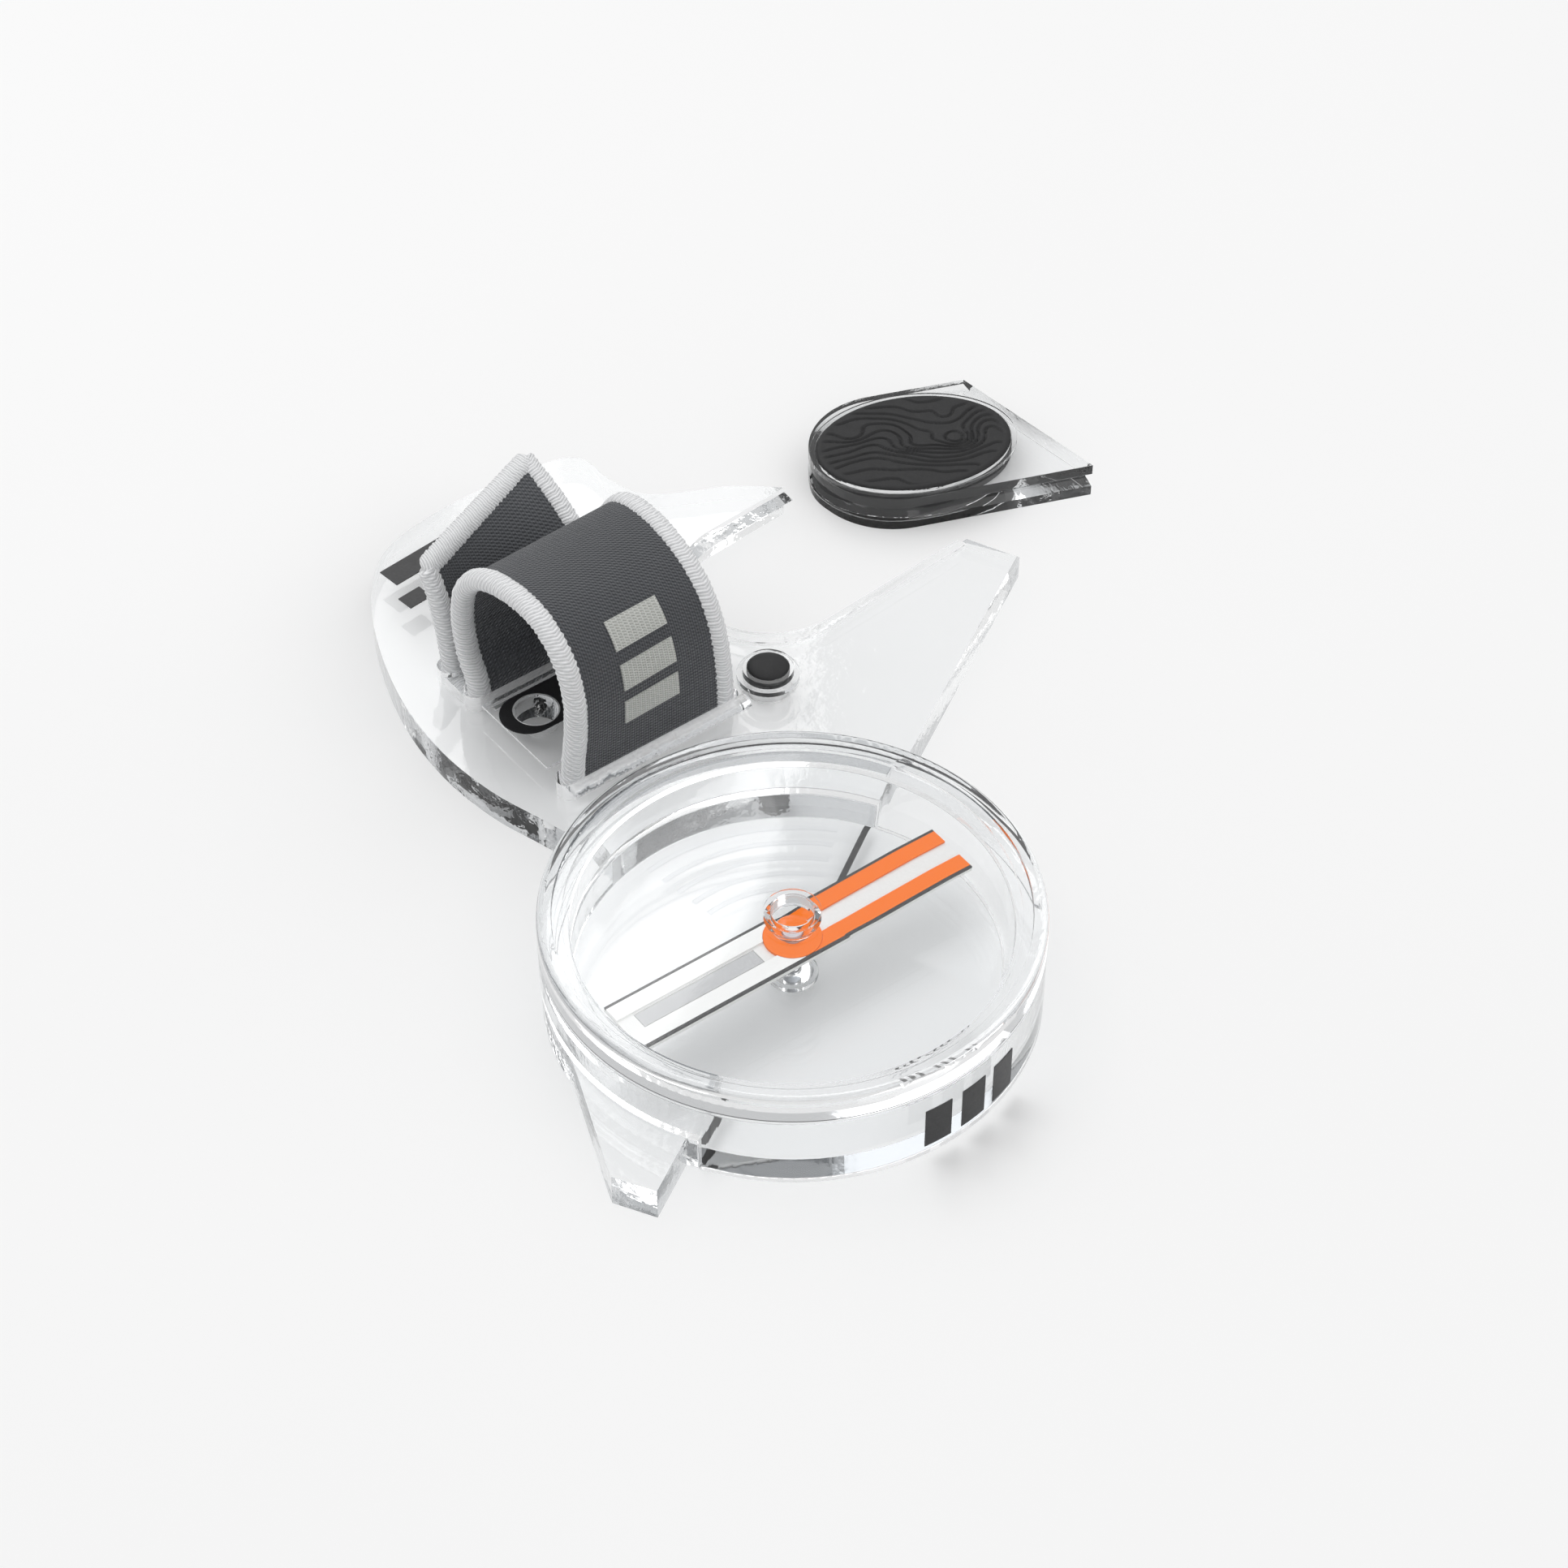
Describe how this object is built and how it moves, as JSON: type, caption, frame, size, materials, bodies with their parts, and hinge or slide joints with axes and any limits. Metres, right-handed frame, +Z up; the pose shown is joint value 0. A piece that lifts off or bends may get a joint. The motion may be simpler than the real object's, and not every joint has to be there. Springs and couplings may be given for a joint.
{
  "type": "thumb compass",
  "caption": "Clear orienteering thumb compass: round liquid capsule with wide two-colour needle, elastic thumb strap, and a loose click-in rubber thumb pad module.",
  "frame": {"origin": "on the capsule axis, in the resting plane of plate and capsule underside", "axes": "+Z up out of the capsule lens, +Y the travel direction along the straight ruler side, +X to the right of travel"},
  "size_m": [0.0793, 0.1099, 0.0211],
  "materials": {
    "clear_plate": "clear, polished",
    "clear_capsule": "clear, polished",
    "clear_detail": "clear",
    "black_print": "printed",
    "black_rubber": "matt",
    "orange": "satin",
    "white": "satin",
    "needle_clear": "clear",
    "magnet": "satin",
    "pin_steel": "polished",
    "jewel": "polished",
    "strap_weave": "fine twill",
    "strap_knit": "knitted"
  },
  "bodies": {
    "plate": {"base_plate": "clear_plate", "plate_print": "black_print", "lanyard_print": "black_print", "friction_button": "black_rubber", "capsule_housing": "clear_capsule", "capsule_lens": "clear_capsule", "travel_line": "black_print", "floor_rings": "clear_detail", "capsule_print": "black_print", "pivot_boss": "clear_detail", "pivot_pin": "pin_steel", "strap_band": "strap_weave", "strap_binding_near": "strap_knit", "strap_binding_far": "strap_knit", "strap_binding_end": "strap_knit", "strap_motif": "strap_knit"},
    "needle": {"needle_carrier": "needle_clear", "needle_north": "orange", "needle_south": "white", "needle_disc": "orange", "needle_edges": "black_print", "needle_magnet": "magnet", "needle_jewel": "jewel"},
    "pad_module": {"module_plate": "clear_plate", "module_pad": "black_rubber"}
  },
  "joints": [
    {"name": "needle_spin", "type": "hinge", "parent": "plate", "child": "needle", "pos_m": [0, 0, 0.0054], "axis": [0, 0, 1], "continuous": true},
    {"name": "module_lift", "type": "slide", "parent": "plate", "child": "pad_module", "axis": [0, 0, 1], "range_m": [0, 0.03]}
  ]
}
